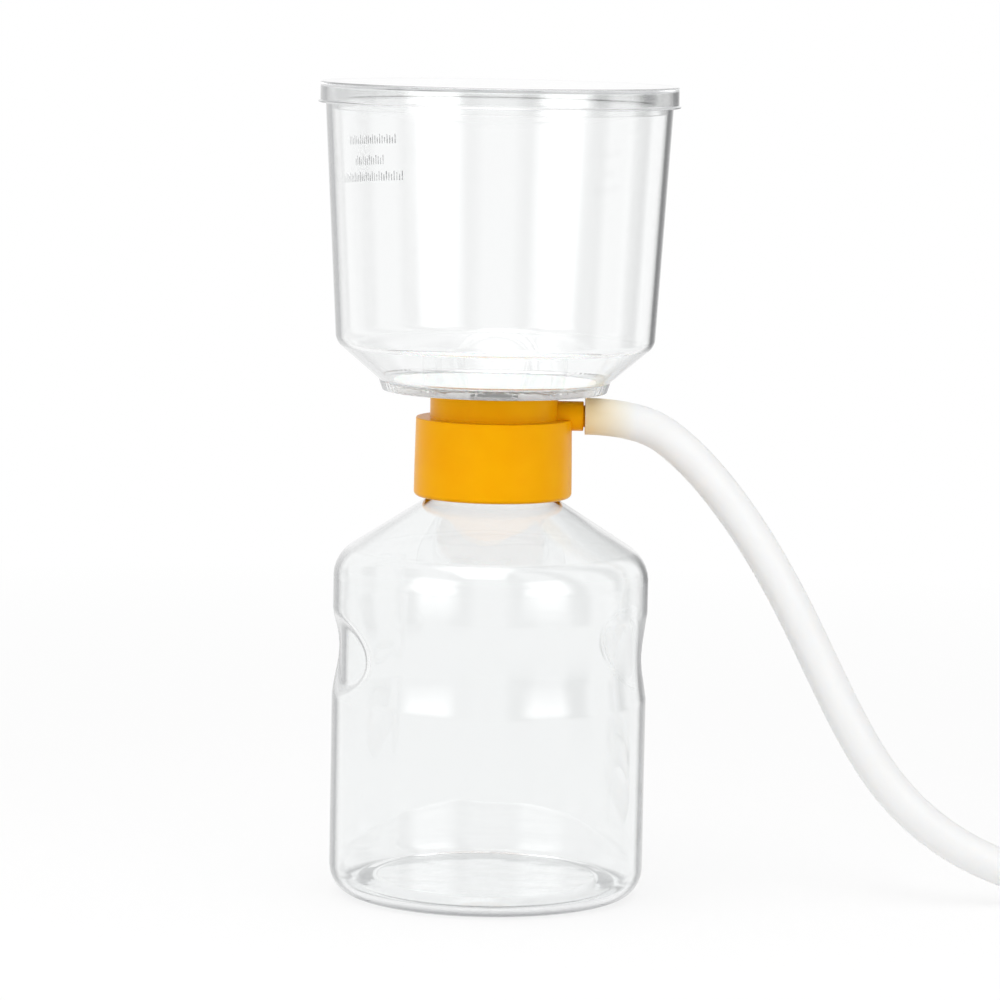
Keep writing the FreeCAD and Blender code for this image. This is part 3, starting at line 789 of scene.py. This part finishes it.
# %% Spin the funnel
funnel = outline([
    (FLANGE_RADIUS, FLANGE_LOW, 0.25),
    (FLANGE_TOP_RADIUS, FLANGE_TOP, 0.5),
    (FUNNEL_RADIUS, FUNNEL_CORNER, CORNER_ROUND),
    (RIM_RADIUS, FUNNEL_RIM, FUNNEL_LIP_ROUND),
    (RIM_RADIUS - FUNNEL_WALL, FUNNEL_RIM, FUNNEL_LIP_ROUND),
    (inner_corner, inner_corner_height, CORNER_ROUND - FUNNEL_WALL),
    (inside_cone(CLAMP_TOP), CLAMP_TOP, 1.5),
    (CLAMP_BORE, MEMBRANE_TOP + 0.15),
    (CLAMP_BORE, MEMBRANE_TOP),
    (FLANGE_BORE + 1.2, MEMBRANE_TOP),
    (FLANGE_BORE, FLANGE_LOW),
])
spin(funnel, FUNNEL_STEPS)
press_in(funnel, FLANGE_RADIUS - 0.3, FLANGE_TOP_RADIUS + NEAR_FACE, lambda height, azimuth:
         FLUTE_DEPTH * (height < FLANGE_TOP + 0.2) * (1 - math.cos(azimuth * FLUTES)) / 2)
finish_piece(to_object(funnel, "clear_funnel"), FUNNEL_CLEAR, "filter_unit",
             ("funnel",))

# %% [markdown]
# The back wall of the funnel bears three short rows of grey print. It says nothing here: each
# row is a run of plain upright ticks of three heights, as on a scale. The ticks are flat tiles a
# hair outside the wall, set out by the turn about the axis, so they follow the wall. A row has a
# height in mm, and starts and ends at a turn in degrees.

# %% Print
PRINT_ROWS = [(268, 40, 68), (260.5, 46, 64), (254.6, 37, 75)]
TICK_SPACING = 1.25
TICK_WIDTH = 0.55
TICK_HEIGHTS = (3.4, 2.3, 2.9)
TICK_LIFT = 0.05


def on_back_wall(turn, height):
    """The point of the funnel's outside at this height; degrees turn left from straight behind."""
    share = (height - FUNNEL_CORNER) / (FUNNEL_RIM - FUNNEL_CORNER)
    radius = FUNNEL_RADIUS + share * (RIM_RADIUS - FUNNEL_RADIUS) + TICK_LIFT
    angle = math.radians(90 + turn)
    return Vector((radius * math.cos(angle), radius * math.sin(angle), height)) * MM


def tile(bm, turn, height, width, tall):
    """A flat tile on the wall about a middle; its width is in mm too."""
    half_turn, half_tall = math.degrees(width / 2 / RIM_RADIUS), tall / 2
    corners = [(-1, -1), (1, -1), (1, 1), (-1, 1)]
    bm.faces.new([bm.verts.new(on_back_wall(turn + side * half_turn, height + up * half_tall))
                  for side, up in corners])


def funnel_print():
    bm = bmesh.new()
    for height, start, end in PRINT_ROWS:
        for tick in range(round((end - start) / TICK_SPACING)):
            tall = TICK_HEIGHTS[tick % len(TICK_HEIGHTS)]
            foot = height - max(TICK_HEIGHTS) / 2
            tile(bm, start + tick * TICK_SPACING, foot + tall / 2, TICK_WIDTH, tall)
    return to_object(bm, "funnel_print")


finish_piece(funnel_print(), GREY_INK, "filter_unit")

# %% [markdown]
# ## The lid
# The lid is a flat disc with a skirt outside the funnel's rim, flared at its foot, and a
# locating ring inside the rim.

# %% Lid
LID_TOP = LID_HIGH.z / MM
FOOT_RADIUS_LID = LID_HIGH.x / MM
LID_FLARE = 0.7
LID_WALL = 1.2
LID_OUTER = FOOT_RADIUS_LID - LID_FLARE
LID_INNER = LID_OUTER - LID_WALL
LID_EDGE_ROUND = 0.6
SKIRT_LOW = FUNNEL_RIM - 5.9
SKIRT_ROUND = 0.2
LOCATING_LOW = LID_LOW.z / MM
LOCATING_OUTER = 59.24
LOCATING_WALL = 1.4
LOCATING_ROUND = 0.4

lid = outline([
    (0, FUNNEL_RIM),
    (LOCATING_OUTER - LOCATING_WALL, FUNNEL_RIM, LOCATING_ROUND),
    (LOCATING_OUTER - LOCATING_WALL, LOCATING_LOW, LOCATING_ROUND),
    (LOCATING_OUTER, LOCATING_LOW, LOCATING_ROUND),
    (LOCATING_OUTER, FUNNEL_RIM),
    (LID_INNER, FUNNEL_RIM),
    (LID_INNER, SKIRT_LOW, SKIRT_ROUND),
    (FOOT_RADIUS_LID, SKIRT_LOW, SKIRT_ROUND),
    (FOOT_RADIUS_LID, SKIRT_LOW + 0.5, SKIRT_ROUND),
    (LID_OUTER, SKIRT_LOW + 1.0, 0.3),
    (LID_OUTER, LID_TOP, LID_EDGE_ROUND),
    (0, LID_TOP),
], closed=False)
spin(lid, FUNNEL_STEPS)
finish_piece(to_object(lid, "clear_lid"), LID_CLEAR, "lid", ("lid",))

# %% [markdown]
# ## The neck adapter
# The amber adapter is a ring with a threaded sleeve inside it, a collar on top, and a port on
# its side. The ring and the port are turned about two different axes, so each is spun alone and
# a boolean joins them; a third spin bores the port.

# %% Adapter ring
ADAPTER_LOW, ADAPTER_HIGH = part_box("vacuum_adapter")
RING_RADIUS = ADAPTER_HIGH.y / MM
RING_LOW = ADAPTER_LOW.z / MM
COLLAR_TOP = ADAPTER_HIGH.z / MM
RING_TOP = COLLAR_TOP - 8.2
WEB_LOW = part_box("neck_gasket")[1].z / MM
WEB_HIGH = WEB_LOW + 2.0
COLLAR_RADIUS = 22.8
COLLAR_BORE = 21.0
WEB_HOLE = 13.0
SLEEVE_BORE = 22.9
SLEEVE_OUTER = 24.7
SKIRT_INNER = 26.2
SLEEVE_LOW = RING_LOW + 2.6
DECK_LOW = RING_TOP - 2.5
BAND_TOP = RING_LOW + 11.0
RING_ROUND = 1.6
EDGE_ROUND = 0.3
GROOVE_TURNS = 1.5
GROOVE_ROOT = 1.84
GROOVE_CREST = 0.8
GROOVE_DEPTH = 1.3
GROOVE_LOW = NECK_THREAD_LOW - 1.76
ADAPTER_STEPS = 192

ring = outline([
    (WEB_HOLE, WEB_LOW),
    (SLEEVE_BORE, WEB_LOW),
    (SLEEVE_BORE, SLEEVE_LOW),
    (SLEEVE_OUTER, SLEEVE_LOW, EDGE_ROUND),
    (SLEEVE_OUTER, DECK_LOW),
    (SKIRT_INNER, DECK_LOW),
    (SKIRT_INNER, RING_LOW, EDGE_ROUND),
    (RING_RADIUS, RING_LOW, RING_ROUND),
    (RING_RADIUS - 0.1, BAND_TOP),
    (RING_RADIUS - 0.4, RING_TOP, 0.35),
    (COLLAR_RADIUS, RING_TOP, EDGE_ROUND),
    (COLLAR_RADIUS, COLLAR_TOP, EDGE_ROUND),
    (COLLAR_BORE, COLLAR_TOP, EDGE_ROUND),
    (COLLAR_BORE, WEB_HIGH),
    (WEB_HOLE, WEB_HIGH, 0.4),
])
cut_rows(ring, upright_at(SLEEVE_BORE), THREAD_ROWS)
spin(ring, ADAPTER_STEPS)
press_in(ring, SLEEVE_BORE - NEAR_FACE, SLEEVE_BORE + NEAR_FACE,
         lambda height, azimuth: thread_height(
             height, azimuth, GROOVE_LOW, GROOVE_TURNS, GROOVE_ROOT, GROOVE_CREST, GROOVE_DEPTH))
ring = to_object(ring, "neck_adapter")

# %% Port and its bore
PORT_HEIGHT = RING_TOP + 1.1
PORT_RADIUS = 5.3
PORT_START = COLLAR_RADIUS - 0.9
PORT_REACH = RING_RADIUS + 3.7
BARB_ROOT = 3.9
BARB_CREST = 4.5
PORT_BORE = 2.5
PORT_TIP = ADAPTER_HIGH.x / MM
BARB_LENGTH = 3.3
BARB_RIDGES = 3
BORE_PAST = 4.0
PORT_STEPS = 64


def spin_port(corners, name):
    """Turns an outline about the port's own level axis: each corner is (distance, radius)."""
    raised = [(corner[0], PORT_HEIGHT + corner[1], *corner[2:]) for corner in corners]
    bm = outline(raised, closed=False)
    return to_object(spin(bm, PORT_STEPS, (1, 0, 0), (0, 0, PORT_HEIGHT * MM)), name)


barb = []
for ridge in range(BARB_RIDGES):
    start = PORT_TIP - BARB_LENGTH * (BARB_RIDGES - ridge)
    barb += [(start, BARB_ROOT), (start, BARB_CREST, 0.15)]
port = spin_port([
    (PORT_START, 0),
    (PORT_START, PORT_RADIUS),
    (PORT_REACH, PORT_RADIUS, 0.4),
    (PORT_REACH, BARB_ROOT),
    *barb,
    (PORT_TIP, BARB_ROOT, 0.3),
    (PORT_TIP, 0),
], "port")
bore = spin_port([
    (COLLAR_BORE - BORE_PAST, 0),
    (COLLAR_BORE - BORE_PAST, PORT_BORE),
    (PORT_TIP + BORE_PAST, PORT_BORE),
    (PORT_TIP + BORE_PAST, 0),
], "bore")


def combine(piece, other, operation):
    join = piece.modifiers.new(operation, "BOOLEAN")
    join.operation = operation
    join.solver = "EXACT"
    join.object = other
    applied(piece)
    bpy.data.objects.remove(other)


combine(ring, port, "UNION")
combine(ring, bore, "DIFFERENCE")
finish_piece(ring, AMBER_PLASTIC, "filter_unit", ("vacuum_adapter",))

# %% [markdown]
# ## Pieces that keep their CAD shape
# Filter base, disc, seals and cotton plug already have their true shape, so they only get
# their finish.

# %% Finish the CAD nodes
FINISHES = {
    "filter_base": CLOUDED,
    "filter_membrane": MEMBRANE,
    "base_seal_ring": SEAL_SILICONE,
    "neck_gasket": SEAL_SILICONE,
    "port_cotton_plug": COTTON,
}
for name, material in FINISHES.items():
    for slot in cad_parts[name].material_slots:
        slot.material = material

# %% [markdown]
# ## Floor, light and surroundings
# The room is a white one: whoever looks at it, straight, in a mirror or through clear plastic,
# sees white. Its light on the unit is lower, because a colour should come out about as it is
# written. Between its eight white sides are upright grey gaps. A clear wall turns the light that
# grazes it by some twenty degrees, into a gap, and what is seen straight through it stays white:
# that is how clear things are lit so that their outlines show. The floor and the world both ask
# which kind of ray has arrived and where it goes.

# %% Who looks
GAPS = 8
GAP_WIDTH = 0.2
GAP_GREY = 0.3
GAP_GREY_RIGHT = 0.6


def seen_ray(shade):
    """1 for rays that look at a thing, straight or by gloss and glass, and 0 for its light."""
    kinds = ["Is Camera Ray", "Is Glossy Ray", "Is Transmission Ray"]
    return sum(light_path(shade, kind) for kind in kinds).clamped()


def gap(shade, place):
    """How grey the room is in a direction, for rays by gloss and glass."""
    right = shade.node("ShaderNodeSeparateXYZ", output="X", Vector=place)
    behind = shade.node("ShaderNodeSeparateXYZ", output="Y", Vector=place)
    azimuth = shade.maths("ARCTAN2", right, behind)
    between = (GAP_WIDTH - shade.maths("COSINE", azimuth * GAPS, 0)).clamped()
    grey = (shade.maths("SINE", azimuth, 0) * GAP_GREY_RIGHT + GAP_GREY).clamped()
    return between * grey * (1 - light_path(shade, "Is Camera Ray"))

# %% [markdown]
# The floor is white. Near the unit a part of it is a real matt surface, which takes the unit's
# shadow, and further out that part fades, so that the floor runs into the world unseen.

# %% Floor
FLOOR_RADIUS = 1.2
MATT_SHARE = 0.25
FADE_START = 0.35
FADE_LENGTH = 0.6


def floor():
    bm = bmesh.new()
    bmesh.ops.create_circle(bm, cap_ends=True, segments=96, radius=FLOOR_RADIUS)
    made = to_object(bm, "floor")
    material, shader, shade = new_material("white_floor", Base_Color=(0.92, 0.92, 0.92, 1),
                                           Roughness=0.9, Specular_IOR_Level=0.0)
    place = shade.node("ShaderNodeTexCoord", output="Object")
    near = 1 - ((radius_of(shade, place) - FADE_START) / FADE_LENGTH).clamped()
    white_share = seen_ray(shade) * (1 - near * MATT_SHARE)
    white = shade.node("ShaderNodeEmission", Color=(1, 1, 1, 1),
                       Strength=1 - gap(shade, place) * (1 - near))
    matt = Shade(shade.tree, shader.outputs[0])
    mix = shade.node("ShaderNodeMixShader", _0=white_share, _1=matt, _2=white)
    link_surface(mix, material)
    made.data.materials.append(material)
    print("floor", FLOOR_RADIUS, "m in radius")


floor()

# %% [markdown]
# A tall softbox stands on each side in front, the left one a little brighter, and a wide one
# hangs overhead. They give the clear walls their upright bands of light. Each fades towards its
# edges, as the cloth of a softbox does, so that the bands have soft sides.

# %% Softboxes
SOFT_EDGE = 0.7


def softbox(name, azimuth, distance, low, high, width, radiance):
    """A tall lamp that faces the unit's axis; azimuth 0 is at the camera, and turns right."""
    turn = math.radians(azimuth)
    place = (distance * math.sin(turn), -distance * math.cos(turn), (low + high) / 2)
    return area_lamp(name, width, high - low, radiance, place, (math.pi / 2, 0, turn))


def area_lamp(name, width, height, radiance, place, rotation):
    data = bpy.data.lights.new(name, "AREA")
    data.shape = "RECTANGLE"
    data.size, data.size_y = width, height
    data.energy = radiance * math.pi * width * height
    data.use_nodes = True
    shade = Shade(data.node_tree, None)
    across = shade.node("ShaderNodeNewGeometry", output="Parametric")
    u = shade.node("ShaderNodeSeparateXYZ", output="X", Vector=across)
    v = shade.node("ShaderNodeSeparateXYZ", output="Y", Vector=across)
    inside = (u * (1 - u) * 4 / SOFT_EDGE).clamped() * (v * (1 - v) * 4 / SOFT_EDGE).clamped()
    link(inside, data.node_tree.nodes["Emission"], "Strength")
    made = bpy.data.objects.new(name, data)
    bpy.context.scene.collection.objects.link(made)
    made.location = place
    made.rotation_euler = rotation
    made.visible_camera = False
    return made


softbox("softbox_left", azimuth=-44, distance=1.1, low=0.02, high=1.1, width=0.84, radiance=1.6)
softbox("softbox_right", azimuth=44, distance=1.1, low=0.02, high=1.1, width=0.84, radiance=1.5)
area_lamp("softbox_overhead", width=0.98, height=1.7, radiance=2.6,
          place=(-0.17, -0.57, 1.6), rotation=(0, 0, 0))

# %% [markdown]
# The world is the rest of the white room. Whoever looks at it sees white with its grey gaps, and
# its light on the unit is lower.

# %% Surroundings
ROOM_LIGHT = 0.72


def surroundings():
    world = bpy.data.worlds.new("white_room")
    bpy.context.scene.world = world
    world.use_nodes = True
    shade = Shade(world.node_tree, None)
    background = world.node_tree.nodes["Background"]
    background.inputs["Color"].default_value = (1, 1, 1, 1)
    direction = shade.node("ShaderNodeTexCoord", output="Generated")
    seen = seen_ray(shade)
    white = 1 - gap(shade, direction)
    link(seen * white + (1 - seen) * ROOM_LIGHT, background, "Strength")
    print("room light", ROOM_LIGHT)


surroundings()
